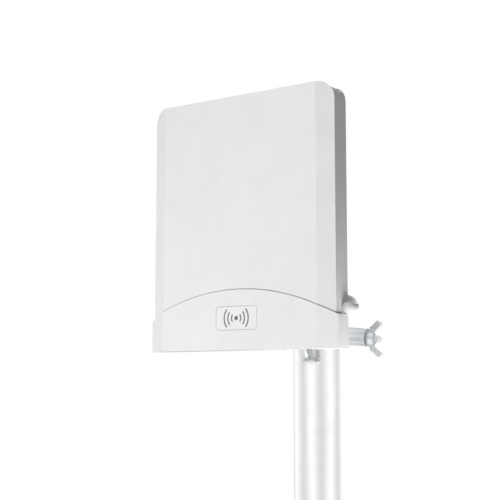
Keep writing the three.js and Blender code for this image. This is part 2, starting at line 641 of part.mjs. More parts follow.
place("vent_plug", ventPlug(), greyPlastic);
place("side_gland", sideGland(), whitePlastic);
place("rear_gland", rearGland(), whitePlastic);
place("pigtail_lead", pigtailLead(), whitePlastic);

export default antenna;
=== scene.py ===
"""Flat-panel antenna on a clamped mast: materials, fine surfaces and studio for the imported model."""
import json
import math

import bmesh
import bpy
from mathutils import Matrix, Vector

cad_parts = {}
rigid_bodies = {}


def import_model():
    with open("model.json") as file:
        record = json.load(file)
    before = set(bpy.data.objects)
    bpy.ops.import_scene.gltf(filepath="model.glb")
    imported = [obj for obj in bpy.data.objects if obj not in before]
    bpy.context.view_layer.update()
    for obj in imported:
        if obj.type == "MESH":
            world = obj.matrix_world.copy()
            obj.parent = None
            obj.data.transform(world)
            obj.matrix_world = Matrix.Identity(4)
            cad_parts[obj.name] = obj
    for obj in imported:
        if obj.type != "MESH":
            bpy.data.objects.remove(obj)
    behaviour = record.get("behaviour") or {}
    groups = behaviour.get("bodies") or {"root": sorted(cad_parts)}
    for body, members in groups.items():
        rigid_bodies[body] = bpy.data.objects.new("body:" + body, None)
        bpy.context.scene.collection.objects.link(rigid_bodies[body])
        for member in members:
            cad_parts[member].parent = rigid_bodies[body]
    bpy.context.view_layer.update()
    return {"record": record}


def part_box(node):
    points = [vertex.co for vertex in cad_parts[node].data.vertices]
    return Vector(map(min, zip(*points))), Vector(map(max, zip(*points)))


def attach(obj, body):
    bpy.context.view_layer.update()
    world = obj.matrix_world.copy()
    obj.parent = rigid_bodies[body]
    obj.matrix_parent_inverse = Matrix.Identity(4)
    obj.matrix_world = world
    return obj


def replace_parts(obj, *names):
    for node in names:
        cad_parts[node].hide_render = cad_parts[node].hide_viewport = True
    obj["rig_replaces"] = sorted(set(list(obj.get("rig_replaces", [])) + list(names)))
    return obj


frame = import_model()

MM = 0.001
BODY_OF = {node: body for body, nodes in frame["record"]["behaviour"]["bodies"].items() for node in nodes}
SLOT_OF = {row["node"]: row["material_slot"] for row in frame["record"]["subparts"]}


# ---------------------------------------------------------------- camera
CAMERA_PLACE = (0.5906, -0.9646, 0.1388)
CAMERA_YAW = math.radians(35)
CAMERA_PITCH = math.radians(6.98)
CAMERA_LENS = 78.9


def make_camera():
    """The camera stands low, to the right of the antenna's front, and looks slightly up."""
    data = bpy.data.cameras.new("camera")
    data.lens = CAMERA_LENS
    data.sensor_width = 36
    data.clip_end = 50
    camera = bpy.data.objects.new("camera", data)
    bpy.context.collection.objects.link(camera)
    camera.location = CAMERA_PLACE
    level = math.cos(CAMERA_PITCH)
    forward = Vector((-math.sin(CAMERA_YAW) * level, math.cos(CAMERA_YAW) * level, math.sin(CAMERA_PITCH)))
    camera.rotation_euler = forward.to_track_quat("-Z", "Y").to_euler()
    bpy.context.scene.camera = camera


make_camera()


# ---------------------------------------------------------------- node helpers
class Shader:
    """A Principled material and short ways to add the nodes that drive it."""

    def __init__(self, name, color, roughness, metallic=0.0):
        self.material = bpy.data.materials.new(name)
        self.material.use_nodes = True
        self.tree = self.material.node_tree
        self.surface = self.tree.nodes["Principled BSDF"]
        self.set("Base Color", (*color, 1))
        self.set("Roughness", roughness)
        self.set("Metallic", metallic)
        self.place = self.add("ShaderNodeTexCoord").outputs["Object"]

    def set(self, socket, value):
        self.surface.inputs[socket].default_value = value

    def add(self, kind, **settings):
        node = self.tree.nodes.new(kind)
        for key, value in settings.items():
            setattr(node, key, value)
        return node

    def link(self, source, target):
        self.tree.links.new(source, target)

    def stretched(self, scale):
        """Object coordinates multiplied by scale along each axis."""
        mapping = self.add("ShaderNodeMapping")
        mapping.inputs["Scale"].default_value = scale
        self.link(self.place, mapping.inputs["Vector"])
        return mapping.outputs["Vector"]

    def noise(self, scale, detail=4.0, stretch=None, roughness=0.55):
        node = self.add("ShaderNodeTexNoise")
        node.inputs["Scale"].default_value = scale
        node.inputs["Detail"].default_value = detail
        node.inputs["Roughness"].default_value = roughness
        self.link(self.stretched(stretch) if stretch else self.place, node.inputs["Vector"])
        return node.outputs["Fac"]

    def cells(self, scale):
        node = self.add("ShaderNodeTexVoronoi")
        node.inputs["Scale"].default_value = scale
        self.link(self.place, node.inputs["Vector"])
        return node.outputs["Color"]

    def ramp(self, source, low, high, value_low, value_high):
        """Values between value_low and value_high as source goes from low to high."""
        node = self.add("ShaderNodeMapRange")
        limits = {"From Min": low, "From Max": high, "To Min": value_low, "To Max": value_high}
        for socket, value in limits.items():
            node.inputs[socket].default_value = value
        self.link(source, node.inputs["Value"])
        return node.outputs["Result"]

    def mixed(self, factor, first, second, blend="MIX"):
        """Colour between first and second, each a colour or a socket."""
        node = self.add("ShaderNodeMix", data_type="RGBA", blend_type=blend)
        self.link(factor, node.inputs[0])
        for socket, value in ((node.inputs[6], first), (node.inputs[7], second)):
            if isinstance(value, tuple):
                socket.default_value = (*value, 1)
            else:
                self.link(value, socket)
        return node.outputs[2]

    def edges(self, radius, low=0.02, high=0.35):
        """A mask that is 1 on edges sharper than the given radius."""
        bevel = self.add("ShaderNodeBevel", samples=4)
        bevel.inputs["Radius"].default_value = radius
        geometry = self.add("ShaderNodeNewGeometry")
        difference = self.add("ShaderNodeVectorMath", operation="DISTANCE")
        self.link(bevel.outputs["Normal"], difference.inputs[0])
        self.link(geometry.outputs["Normal"], difference.inputs[1])
        return self.ramp(difference.outputs["Value"], low, high, 0.0, 1.0)

    def crevices(self, distance):
        """A mask from ambient occlusion that is 1 deep in corners, where shade falls; colour mixed by it is
        painted shade.
        """
        node = self.add("ShaderNodeAmbientOcclusion", samples=4)
        node.inputs["Distance"].default_value = distance
        return self.ramp(node.outputs["AO"], 0.35, 0.95, 1.0, 0.0)

    def bump(self, *layers):
        """Stacked bump layers, each (height socket, strength, distance in metres)."""
        normal = None
        for height, strength, distance in layers:
            node = self.add("ShaderNodeBump")
            node.inputs["Strength"].default_value = strength
            node.inputs["Distance"].default_value = distance
            self.link(height, node.inputs["Height"])
            if normal is not None:
                self.link(normal, node.inputs["Normal"])
            normal = node.outputs["Normal"]
        self.link(normal, self.surface.inputs["Normal"])

    def color(self, socket):
        self.link(socket, self.surface.inputs["Base Color"])

    def roughness(self, socket):
        self.link(socket, self.surface.inputs["Roughness"])


# ---------------------------------------------------------------- materials
def moulded_plastic(name, color, soiled, roughness, grain, gloss=0.45):
    """Moulded plastic: fine spark-eroded grain, faint mottling and painted shade in corners."""
    shader = Shader(name, color, roughness)
    shader.set("Specular IOR Level", gloss)
    shader.set("Subsurface Weight", 0.04)
    shader.set("Subsurface Radius", (0.004, 0.004, 0.004))
    mottle = shader.noise(38, 3)
    tone = shader.mixed(shader.ramp(mottle, 0.35, 0.7, 0.0, 0.35), color, soiled)
    # Painted shade: the colour darkens deep in corners, driven by ambient occlusion.
    corner_shade = tuple(c * 0.8 for c in soiled)
    shader.color(shader.mixed(shader.ramp(shader.crevices(0.004), 0, 1, 0, 0.4), tone, corner_shade))
    smears = shader.noise(70, 4, (1, 1, 0.25))
    shader.roughness(shader.ramp(smears, 0.3, 0.75, roughness - 0.06, roughness + 0.1))
    shader.bump(
        (shader.noise(2600, 2), grain, 0.00012),
        (shader.noise(260, 2), grain * 0.5, 0.00015),
        (shader.noise(22, 1), 0.05, 0.0006),
    )
    return shader.material


def chromed_tube(name):
    """Bright chrome over drawn tube: faint draw lines along it, a slow waviness, water marks."""
    shader = Shader(name, (0.95, 0.955, 0.96), 0.08, 1.0)
    lines = shader.noise(420, 3, (1, 1, 0.012))
    waves = shader.noise(34, 1, (1, 1, 0.3))
    marks = shader.noise(60, 5)
    blend = shader.ramp(marks, 0.5, 0.8, 0.0, 1.0)
    shader.color(shader.mixed(blend, (0.96, 0.965, 0.97), (0.9, 0.91, 0.92)))
    shader.roughness(shader.ramp(marks, 0.3, 0.8, 0.05, 0.14))
    scratches = shader.noise(900, 2, (1, 1, 0.2))
    shader.bump((waves, 0.5, 0.003), (lines, 0.1, 0.00006), (scratches, 0.04, 0.00004))
    return shader.material


def zinc_plate(name, tint, roughness=0.3):
    """Bright zinc plating: bluish, with fine crystal spangle and rubbed edges."""
    shader = Shader(name, tint, roughness, 0.85)
    spangle = shader.add("ShaderNodeSeparateColor")
    shader.link(shader.cells(520), spangle.inputs[0])
    patch = shader.ramp(spangle.outputs[0], 0, 1, 0, 0.5)
    pale = tuple(min(1.0, c * 1.06) for c in tint)
    dull = tuple(c * 0.86 for c in tint)
    tone = shader.mixed(patch, pale, dull)
    cloudy = shader.mixed(shader.ramp(shader.noise(90, 4), 0.45, 0.75, 0, 0.5), tone, (0.82, 0.87, 0.92))
    # Painted shade: the colour darkens towards dark grey deep in corners, driven by ambient occlusion.
    corner_shaded = shader.mixed(shader.ramp(shader.crevices(0.004), 0, 0.6, 0, 0.8), cloudy, (0.4, 0.43, 0.47))
    shader.color(shader.mixed(shader.edges(0.0005), corner_shaded, (0.97, 0.975, 0.98)))
    shader.roughness(shader.ramp(shader.noise(240, 4), 0.3, 0.75, roughness - 0.08, roughness + 0.14))
    shader.bump((shader.noise(1500, 3), 0.12, 0.00006), (shader.noise(120, 2), 0.08, 0.0002))
    return shader.material


def sheet_aluminium(name):
    """Rolled aluminium sheet with its grain along X."""
    shader = Shader(name, (0.8, 0.81, 0.83), 0.34, 1.0)
    grain = shader.noise(700, 3, (0.02, 1, 1))
    shader.color(shader.mixed(grain, (0.84, 0.85, 0.87), (0.7, 0.71, 0.73)))
    shader.roughness(shader.ramp(grain, 0.3, 0.7, 0.26, 0.42))
    shader.bump((grain, 0.2, 0.00005))
    return shader.material


def rubber(name, color, worn):
    """Moulded rubber: matt, slightly bloomed, with a fine grain."""
    shader = Shader(name, color, 0.72)
    bloom = shader.noise(140, 4)
    shader.color(shader.mixed(shader.ramp(bloom, 0.4, 0.75, 0, 1), color, worn))
    shader.roughness(shader.ramp(bloom, 0.3, 0.7, 0.6, 0.82))
    shader.bump((shader.noise(1900, 2), 0.25, 0.0001), (shader.noise(160, 2), 0.1, 0.0002))
    return shader.material


def cable_jacket(name):
    """White cable jacket: smooth, with faint ripples of the shield under it and light soiling."""
    shader = Shader(name, (0.84, 0.84, 0.83), 0.36)
    soil = shader.noise(120, 4)
    shader.color(shader.mixed(shader.ramp(soil, 0.45, 0.8, 0, 0.6), (0.86, 0.86, 0.85), (0.7, 0.7, 0.67)))
    shader.roughness(shader.ramp(soil, 0.3, 0.7, 0.3, 0.46))
    shader.bump((shader.noise(500, 2), 0.12, 0.0001))
    return shader.material


def solder_mask(name):
    """Green solder mask with the weave of the laminate showing faintly."""
    shader = Shader(name, (0.06, 0.24, 0.12), 0.3)
    weave = shader.noise(1400, 2, (1, 1, 0.3))
    shader.color(shader.mixed(weave, (0.05, 0.25, 0.12), (0.09, 0.32, 0.16)))
    shader.roughness(shader.ramp(weave, 0.3, 0.7, 0.24, 0.4))
    shader.bump((weave, 0.15, 0.00006))
    return shader.material


def printed_ink(name):
    """Pad-printed dark grey ink with a slightly uneven cover."""
    shader = Shader(name, (0.09, 0.1, 0.11), 0.42)
    cover = shader.noise(900, 3)
    shader.color(shader.mixed(cover, (0.08, 0.09, 0.1), (0.16, 0.17, 0.18)))
    shader.roughness(shader.ramp(cover, 0.3, 0.7, 0.36, 0.52))
    shader.bump((cover, 0.15, 0.00004))
    return shader.material


WHITE = (0.86, 0.862, 0.858)
SOILED = (0.78, 0.78, 0.76)
FINISHES = {
    "white_radome": moulded_plastic("white_radome", WHITE, SOILED, 0.4, 0.16),
    "white_housing": moulded_plastic(
        "white_housing", (0.82, 0.82, 0.81), (0.72, 0.72, 0.7), 0.52, 0.28, 0.35
    ),
    "badge_white": moulded_plastic("badge_white", (0.88, 0.88, 0.875), SOILED, 0.32, 0.1, 0.5),
    "grey_plastic": moulded_plastic("grey_plastic", (0.36, 0.37, 0.39), (0.28, 0.29, 0.3), 0.5, 0.25),
    "chromed_steel": chromed_tube("chromed_steel"),
    "zinc_plated_steel": zinc_plate("zinc_plated_steel", (0.93, 0.95, 0.97), 0.33),
    "nickel_plate": zinc_plate("nickel_plate", (0.78, 0.74, 0.66), 0.22),
    "aluminium_sheet": sheet_aluminium("aluminium_sheet"),
    "black_rubber": rubber("black_rubber", (0.03, 0.03, 0.032), (0.07, 0.07, 0.07)),
    "white_boot": rubber("white_boot", (0.82, 0.82, 0.81), (0.72, 0.72, 0.7)),
    "white_jacket": cable_jacket("white_jacket"),
    "board_laminate": solder_mask("board_laminate"),
}
INK = printed_ink("ink")


# ---------------------------------------------------------------- mesh helpers
def new_piece(name, data):
    """A new object in the scene that holds the given mesh or light."""
    piece = bpy.data.objects.new(name, data)
    bpy.context.collection.objects.link(piece)
    return piece


def piece_from(bm, name):
    """A new piece with the mesh that bm holds; bm is freed."""
    mesh = bpy.data.meshes.new(name)
    bm.to_mesh(mesh)
    bm.free()
    return new_piece(name, mesh)


def closed_piece_from(bm, name):
    """As piece_from, with every face turned outwards first."""
    bmesh.ops.recalc_face_normals(bm, faces=bm.faces)
    return piece_from(bm, name)


def skin_rings(bm, rings):
    """Faces between neighbouring rings of vertices, and a cap at each end."""
    sides = len(rings[0])
    for low, high in zip(rings, rings[1:]):
        for k in range(sides):
            bm.faces.new((low[k], low[(k + 1) % sides], high[(k + 1) % sides], high[k]))
    bm.faces.new(rings[0][::-1])
    bm.faces.new(rings[-1])


def centre_of(node):
    low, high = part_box(node)
    return (Vector(low) + Vector(high)) / 2


def finish_piece(piece, body, slot, node=None, sharp=35):
    """Give a piece its material and tie it to its body and to the CAD node that it stands for.

    sharp is the angle over which edges stay crisp, or None where the piece has its own normals.
    """
    piece.data.materials.clear()
    piece.data.materials.append(FINISHES[slot])
    if sharp is not None:
        piece.data.shade_smooth()
        piece.data.set_sharp_from_angle(angle=math.radians(sharp))
    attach(piece, body)
    if node:
        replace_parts(piece, node)
    return piece


def apply_modifiers(piece):
    """Replace a piece's mesh by the mesh that its modifiers make."""
    piece.data.shade_smooth()
    graph = bpy.context.evaluated_depsgraph_get()
    made = bpy.data.meshes.new_from_object(piece.evaluated_get(graph))
    piece.modifiers.clear()
    piece.data = made


def add_bevel(piece, width, segments=3, angle=25):
    """Round a piece's edges, and let its big flat faces keep their own normals."""
    bevel = piece.modifiers.new("bevel", "BEVEL")
    bevel.width = width
    bevel.segments = segments
    bevel.limit_method = "ANGLE"
    bevel.angle_limit = math.radians(angle)
    bevel.use_clamp_overlap = True
    normals = piece.modifiers.new("normals", "WEIGHTED_NORMAL")
    normals.mode = "FACE_AREA"
    normals.weight = 100
    normals.keep_sharp = True


def rounded_copy(node, width, segments=2, angle=25):
    """A copy of a CAD node with its flat faces made whole and its edges rounded."""
    source = bpy.data.objects[node]
    bm = bmesh.new()
    bm.from_mesh(source.data)
    bmesh.ops.remove_doubles(bm, verts=bm.verts, dist=0.00001)
    bmesh.ops.dissolve_limit(bm, angle_limit=math.radians(0.6), verts=bm.verts, edges=bm.edges)
    piece = piece_from(bm, node + "_fine")
    add_bevel(piece, width, segments, angle)
    apply_modifiers(piece)
    return finish_piece(piece, BODY_OF[node], SLOT_OF[node], node, None)


def revolved(name, profile, axis="z", centre=(0, 0, 0), segments=96):
    """A solid of revolution of a profile of (radius, height) points; points on the axis become poles."""
    bm = bmesh.new()
    rings = []
    for radius, height in profile:
        count = 1 if radius == 0 else segments
        ring = []
        for i in range(count):
            turn = 2 * math.pi * i / segments
            a, b = radius * math.cos(turn), radius * math.sin(turn)
            local = {"z": (a, b, height), "x": (height, a, b), "y": (b, height, a)}[axis]
            ring.append(bm.verts.new(Vector(local) + Vector(centre)))
        rings.append(ring)
    closed = profile[0][0] != 0
    pairs = list(zip(rings, rings[1:])) + ([(rings[-1], rings[0])] if closed else [])
    for low, high in pairs:
        for i in range(segments):
            j = (i + 1) % segments
            corners = [low[i % len(low)], low[j % len(low)], high[j % len(high)], high[i % len(high)]]
            bm.faces.new(list(dict.fromkeys(corners)))
    return closed_piece_from(bm, name)


def round_corner(radius, height, size, turn_from, turn_to, steps=4):
    """Profile points of a quarter round of the given size about (radius, height)."""
    points = []
    for i in range(steps + 1):
        turn = math.radians(turn_from + (turn_to - turn_from) * i / steps)
        points.append((radius + size * math.cos(turn), height + size * math.sin(turn)))
    return points


def smooth_route(points, steps=10):
    """A smooth curve through the points, as a list of points (Catmull-Rom)."""
    knots = [Vector(p) for p in points]
    knots = [2 * knots[0] - knots[1]] + knots + [2 * knots[-1] - knots[-2]]
    route = []
    for a, b, c, d in zip(knots, knots[1:], knots[2:], knots[3:]):
        for i in range(steps):
            t = i / steps
            route.append(0.5 * (2 * b + (c - a) * t + (2 * a - 5 * b + 4 * c - d) * t**2
                                + (3 * b - a - 3 * c + d) * t**3))
    route.append(knots[-2])
    return route


def rounded_route(start, corner, end, radius, steps=8):
    """Two straight runs joined by a round bend at the corner."""
    start, corner, end = Vector(start), Vector(corner), Vector(end)
    into = (start - corner).normalized() * radius
    out = (end - corner).normalized() * radius
    route = [start.lerp(corner + into, i / 6) for i in range(6)]
    for i in range(steps + 1):
        t = i / steps
        route.append((corner + into) * (1 - t) ** 2 + corner * 2 * t * (1 - t) + (corner + out) * t**2)
    return route + [(corner + out).lerp(end, i / 6) for i in range(1, 7)]


def swept(name, route, radius_at, sides=28):
    """A round tube along the route, closed at both ends; radius_at takes a distance along it."""
    bm = bmesh.new()
    rings = []
    travelled = 0.0
    across = None
    for i, point in enumerate(route):
        ahead = (route[min(i + 1, len(route) - 1)] - route[max(i - 1, 0)]).normalized()
        if across is None:
            across = ahead.orthogonal().normalized()
        across = (across - ahead * across.dot(ahead)).normalized()
        other = ahead.cross(across)
        if i:
            travelled += (point - route[i - 1]).length
        radius = radius_at(travelled)
        ring = []
        for k in range(sides):
            turn = 2 * math.pi * k / sides
            outward = across * math.cos(turn) + other * math.sin(turn)
            ring.append(bm.verts.new(point + outward * radius))
        rings.append(ring)
    skin_rings(bm, rings)
    return closed_piece_from(bm, name)


def merged(name, parts):
    """One piece from several, which are removed."""
    bm = bmesh.new()
    for part in parts:
        bm.from_mesh(part.data)
        mesh = part.data
        bpy.data.objects.remove(part)
        bpy.data.meshes.remove(mesh)
    return piece_from(bm, name)


# ---------------------------------------------------------------- mast
MAST_WALL = 2.5 * MM
END_GAP = 0.3 * MM


def make_mast():
    low, high = (Vector(corner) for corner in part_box("mast_tube"))
    outer = (high.x - low.x) / 2
    inner = outer - MAST_WALL
    lip = 0.5 * MM
    profile = (
        round_corner(outer - lip, high.z - lip, lip, 0, 90)
        + round_corner(inner + lip, high.z - lip, lip, 90, 180)
        + round_corner(inner + lip, low.z + lip, lip, 180, 270)
        + round_corner(outer - lip, low.z + lip, lip, 270, 360)
    )
    finish_piece(revolved("mast_tube_fine", profile, segments=160), "mast", "chromed_steel", "mast_tube", 60)


def make_plug(node, flange_at, up):
    """A moulded end plug: a crowned flange and a ribbed stem that grips the tube's bore."""
    low, high = (Vector(corner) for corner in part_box(node))
    face = high.z if up > 0 else low.z
    stem_end = low.z if up > 0 else high.z
    radius = (high.x - low.x) / 2
    bore = radius - MAST_WALL - 0.3 * MM
    edge = 1.2 * MM
    crown = 0.3 * MM
    profile = [(0, face), (radius * 0.72, face), (radius * 0.93, face - up * crown)]
    for i in range(1, 6):
        turn = math.radians(90 - 18 * i)
        drop = crown + edge - edge * math.sin(turn)
        profile.append((radius - edge + edge * math.cos(turn), face - up * drop))
    profile += [(radius, flange_at), (bore, flange_at)]
    ribs = 4
    span = stem_end - flange_at
    for i in range(ribs):
        profile += [
            (bore - 0.5 * MM, flange_at + span * (i + 0.35) / (ribs + 0.5)),
            (bore - 0.5 * MM, flange_at + span * (i + 0.75) / (ribs + 0.5)),
            (bore, flange_at + span * (i + 0.9) / (ribs + 0.5)),
        ]
    profile += [(bore - 1.2 * MM, stem_end), (0, stem_end)]
    finish_piece(revolved(node + "_fine", profile), BODY_OF[node], SLOT_OF[node], node, 50)


# ---------------------------------------------------------------- fasteners
THREAD_PITCH = 1.25 * MM
BOLT_RADIUS = 4 * MM
HEAD_RADIUS = 7.4 * MM
HEAD_TALL = 5 * MM


def threaded_bar(name, axis_y, axis_z, start, stop, thread_from, radius, sides=28):
    """A bar along X: plain up to thread_from, then a helical thread with a chamfered end."""
    bm = bmesh.new()
    rings = []
    depth = 0.62 * MM
    chamfer = 1.1 * MM
    places = [start, thread_from - 0.8 * MM]
    count = int((stop - thread_from) / (THREAD_PITCH / 6))
    places += [thread_from + (stop - thread_from) * i / count for i in range(count + 1)]
    for x in places:
        ring = []
        for k in range(sides):
            turn = k / sides
            height = radius - 0.05 * MM
            if x >= thread_from:
                phase = ((x - thread_from) / THREAD_PITCH - turn) % 1.0
                height -= depth * (1 - abs(2 * phase - 1)) * min(1.0, (x - thread_from) / THREAD_PITCH)
            height = min(height, radius - 0.1 * MM - max(0.0, x - (stop - chamfer)))
            angle = 2 * math.pi * turn
            y = axis_y + height * math.cos(angle)
            ring.append(bm.verts.new((x, y, axis_z + height * math.sin(angle))))
        rings.append(ring)
    skin_rings(bm, rings)
    return closed_piece_from(bm, name)


def hexagon(name, axis_y, axis_z, start, stop, radius, chamfered):
    """A hexagonal prism along X; chamfered says whether its corners are turned down at start and at stop."""
    bm = bmesh.new()
    sides = 48
    flat = math.cos(math.pi / 6)
    crown = 0.9 * MM
    heights = [(start, chamfered[0]), (start + crown, 0), (stop - crown, 0), (stop, chamfered[1])]
    rings = []
    for x, turned in heights:
        ring = []
        for k in range(sides):
            angle = 2 * math.pi * k / sides
            to_flat = (angle + math.pi / 6) % (math.pi / 3) - math.pi / 6
            reach = radius * flat / math.cos(math.pi / 6 - abs(to_flat))
            if turned:
                reach = min(reach, radius * flat * 0.985)
            y = axis_y + reach * math.sin(angle)
            ring.append(bm.verts.new((x, y, axis_z + reach * math.cos(angle))))
        rings.append(ring)
    skin_rings(bm, rings)
    return closed_piece_from(bm, name)


def make_bolt(node, thread_length):
    """A hexagon-headed bolt along X with its head at the low end."""
    low, high = (Vector(corner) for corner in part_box(node))
    middle = centre_of(node)
    head = hexagon("head", middle.y, middle.z, low.x, low.x + HEAD_TALL, HEAD_RADIUS, (1, 0))
    inside_head = low.x + HEAD_TALL - 1 * MM
    rod = threaded_bar("rod", middle.y, middle.z, inside_head, high.x, high.x - thread_length, BOLT_RADIUS)
    finish_piece(merged(node + "_fine", [head, rod]), BODY_OF[node], SLOT_OF[node], node, 32)


def make_washer(node):
    low, high = (Vector(corner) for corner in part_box(node))
    middle = centre_of(node)
    outer = (high.y - low.y) / 2
    inner = BOLT_RADIUS + 0.35 * MM
    rim = 0.3 * MM
    profile = [(inner, low.x), (outer - rim, low.x), (outer, low.x + rim), (outer, high.x - rim),
               (outer - rim, high.x), (inner, high.x)]
    piece = revolved(node + "_fine", profile, "x", (0, middle.y, middle.z), 64)
    finish_piece(piece, BODY_OF[node], SLOT_OF[node], node, 30)


# ---------------------------------------------------------------- the short lead and its boots
LEAD_RADIUS = 3.8 * MM
BOOT_RADIUS = 4.8 * MM
BOOT_REACH = 2.5 * MM
BOOT_OVERLAP = 3 * MM
REAR_RIB_TALL = 4 * MM


def lead_places():
    """The corners of both boots, and the lead's route between them, from the glands' places."""
    side_high = Vector(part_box("radome")[1])
    rear = Vector(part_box("rear_housing")[1]).y - REAR_RIB_TALL
    bottom = Vector(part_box("service_cover")[0]).z
    half = side_high.x
    side = Vector((half + 5.1 * MM, side_high.y - 5.2 * MM, bottom + 36.2 * MM))
    back = Vector((74 * MM, rear + 12 * MM, bottom + 58 * MM))
    lean = Vector((0.85, 0, -0.527))
    route = [
        side + Vector((0, BOOT_REACH, 0)),
        side + Vector((0, BOOT_REACH + 4 * MM, 0)),
        Vector((half + 3.2 * MM, side.y + 12.5 * MM, side.z + 2 * MM)),
        Vector((half - 3.2 * MM, side.y + 18 * MM, side.z + 7 * MM)),
        back + lean * 20 * MM,
        back + lean * 12 * MM,
        back + lean * BOOT_REACH,
    ]
    return side, back, lean, half, rear, route


def ribbed(length, radius, ribs_from):
    """Radius along a boot: plain, then shallow rings, and a rounded lip at the end."""

    def radius_at(travelled):
        value = radius
        if travelled > ribs_from:
            value -= 0.35 * MM * (0.5 - 0.5 * math.cos((travelled - ribs_from) / (1.5 * MM) * 2 * math.pi))
        left = length - travelled
        if left < 1.2 * MM:
            value -= 1.0 * MM * (1 - math.sqrt(max(0.0, 1 - ((1.2 * MM - left) / (1.2 * MM)) ** 2)))
        return value

    return radius_at


def refined(route, step=0.35 * MM):
    """The route cut into short steps, so that rings show."""
    fine = []
    for a, b in zip(route, route[1:]):
        count = max(1, int((b - a).length / step))
        fine += [a.lerp(b, i / count) for i in range(count)]
    return fine + [route[-1]]


def route_length(route):
    return sum((b - a).length for a, b in zip(route, route[1:]))


def gland_stem(wall, at, axis, depth):
    """The round stem that holds a boot in its wall; it tapers at its inner end."""
    tip = 3.1 * MM
    stem = 3.4 * MM
    profile = [
        (0, wall - depth),
        (tip, wall - depth),
        (stem, wall - depth + 0.5 * MM),
        (stem, wall + 1 * MM),
        (0, wall + 1 * MM),
    ]
    return revolved("stem", profile, axis, at, 32)


def elbow_boot(start, corner, end, bend, ribs_from):
    route = refined(rounded_route(start, corner, end, bend))
    return swept("boot", route, ribbed(route_length(route), BOOT_RADIUS, ribs_from))


def make_lead():
    side, back, lean, half, rear, route = lead_places()
    lead = swept("pigtail_lead_fine", smooth_route(route, 12), lambda travelled: LEAD_RADIUS, 32)
    finish_piece(lead, "panel", SLOT_OF["pigtail_lead"], "pigtail_lead", 60)

    end = side + Vector((0, BOOT_REACH + BOOT_OVERLAP, 0))
    boot = elbow_boot((half + END_GAP, side.y, side.z), side, end, 4.7 * MM, 20 * MM)
    stem = gland_stem(half, (0, side.y, side.z), "x", 6 * MM)
    gland = merged("side_gland_fine", [boot, stem])
    finish_piece(gland, "panel", SLOT_OF["side_gland"], "side_gland", 50)

    face = rear + END_GAP
    end = back + lean * (BOOT_REACH + BOOT_OVERLAP)
    boot = elbow_boot((back.x, face, back.z), back, end, 4.8 * MM, 6 * MM)
    flange = hexagon("flange", 0, 0, face, face + 4 * MM, 7.6 * MM, (0, 1))
    for vertex in flange.data.vertices:
        x, y, z = vertex.co
        vertex.co = (back.x + y, x, back.z + z)
    stem = gland_stem(rear, (back.x, 0, back.z), "y", 5 * MM)
    gland = merged("rear_gland_fine", [boot, flange, stem])
    finish_piece(gland, "panel", SLOT_OF["rear_gland"], "rear_gland", 50)


# ---------------------------------------------------------------- badge
ARC_RADII = (5.2 * MM, 9.4 * MM, 13.6 * MM)
ARC_HALF_WIDE = 0.65 * MM
ARC_HALF_TURN = 38
DOT_RADIUS = 2 * MM


def add_arc(bm, centre, radius, turn, front, back, steps=14):
    """A flat printed arc of the badge's mark, centred on turn degrees."""
    rows = []
    for i in range(steps + 1):
        angle = math.radians(turn - ARC_HALF_TURN + 2 * ARC_HALF_TURN * i / steps)
        row = []
        for reach, y in (
            (radius - ARC_HALF_WIDE, front),
            (radius + ARC_HALF_WIDE, front),
            (radius + ARC_HALF_WIDE, back),
            (radius - ARC_HALF_WIDE, back),
        ):
            x = centre.x + reach * math.cos(angle)
            row.append(bm.verts.new((x, y, centre.z + reach * math.sin(angle))))
        rows.append(row)
    skin_rings(bm, rows)


def add_dot(bm, centre, front, back, sides=24):
    discs = []
    for y in (front, back):
        disc = []
        for k in range(sides):
            angle = 2 * math.pi * k / sides
            x = centre.x + DOT_RADIUS * math.cos(angle)
            disc.append(bm.verts.new((x, y, centre.z + DOT_RADIUS * math.sin(angle))))
        discs.append(disc)
    skin_rings(bm, discs)


def make_badge():
    """The plate with a generic pictogram: a dot and three signal arcs on each side of it."""
    rounded_copy("badge_plate", 0.2 * MM, 2)
    low, high = (Vector(corner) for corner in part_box("badge_plate"))
    middle = (low + high) / 2
    front = low.y - 0.02 * MM
    back = low.y + 0.25 * MM
    bm = bmesh.new()
    for turn in (0, 180):
        for radius in ARC_RADII:
            add_arc(bm, middle, radius, turn, front, back)
    add_dot(bm, middle, front, back)
    mark = closed_piece_from(bm, "badge_mark")
    mark.data.materials.append(INK)
    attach(mark, "service_cover")


# ---------------------------------------------------------------- assemble
def dress_nodes():
    make_mast()
    make_plug("mast_foot_plug", Vector(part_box("mast_tube")[0]).z - END_GAP, -1)
    make_plug("mast_cap", Vector(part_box("mast_tube")[1]).z + END_GAP, 1)
    make_bolt("cross_bolt", 42 * MM)
    make_bolt("pivot_bolt", 14 * MM)
    make_bolt("lock_bolt", 14 * MM)
    make_washer("wing_washer")
    make_washer("lock_washer")
    make_lead()
    make_badge()
    rounded_copy("radome", 0.9 * MM, 3, 14)
    rounded_copy("service_cover", 0.7 * MM, 3, 14)
    rounded_copy("rear_housing", 0.5 * MM, 2)
    rounded_copy("wing_nut", 0.9 * MM, 3)
    for node in ("mast_yoke", "yoke_neck", "tilt_bracket"):
        rounded_copy(node, 0.5 * MM, 2)
    done = {name for piece in bpy.data.objects for name in piece.get("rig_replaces", [])}
    for node in SLOT_OF:
        if node not in done:
            rounded_copy(node, 0.25 * MM, 2, 40)


dress_nodes()


# ---------------------------------------------------------------- studio
# What bright metal mirrors: white panels evenly spaced round the studio, with soft gaps between them.
STUDIO_PANELS = 4
PANEL_LEVEL = 1.05
GAP_LEVEL = 0.75


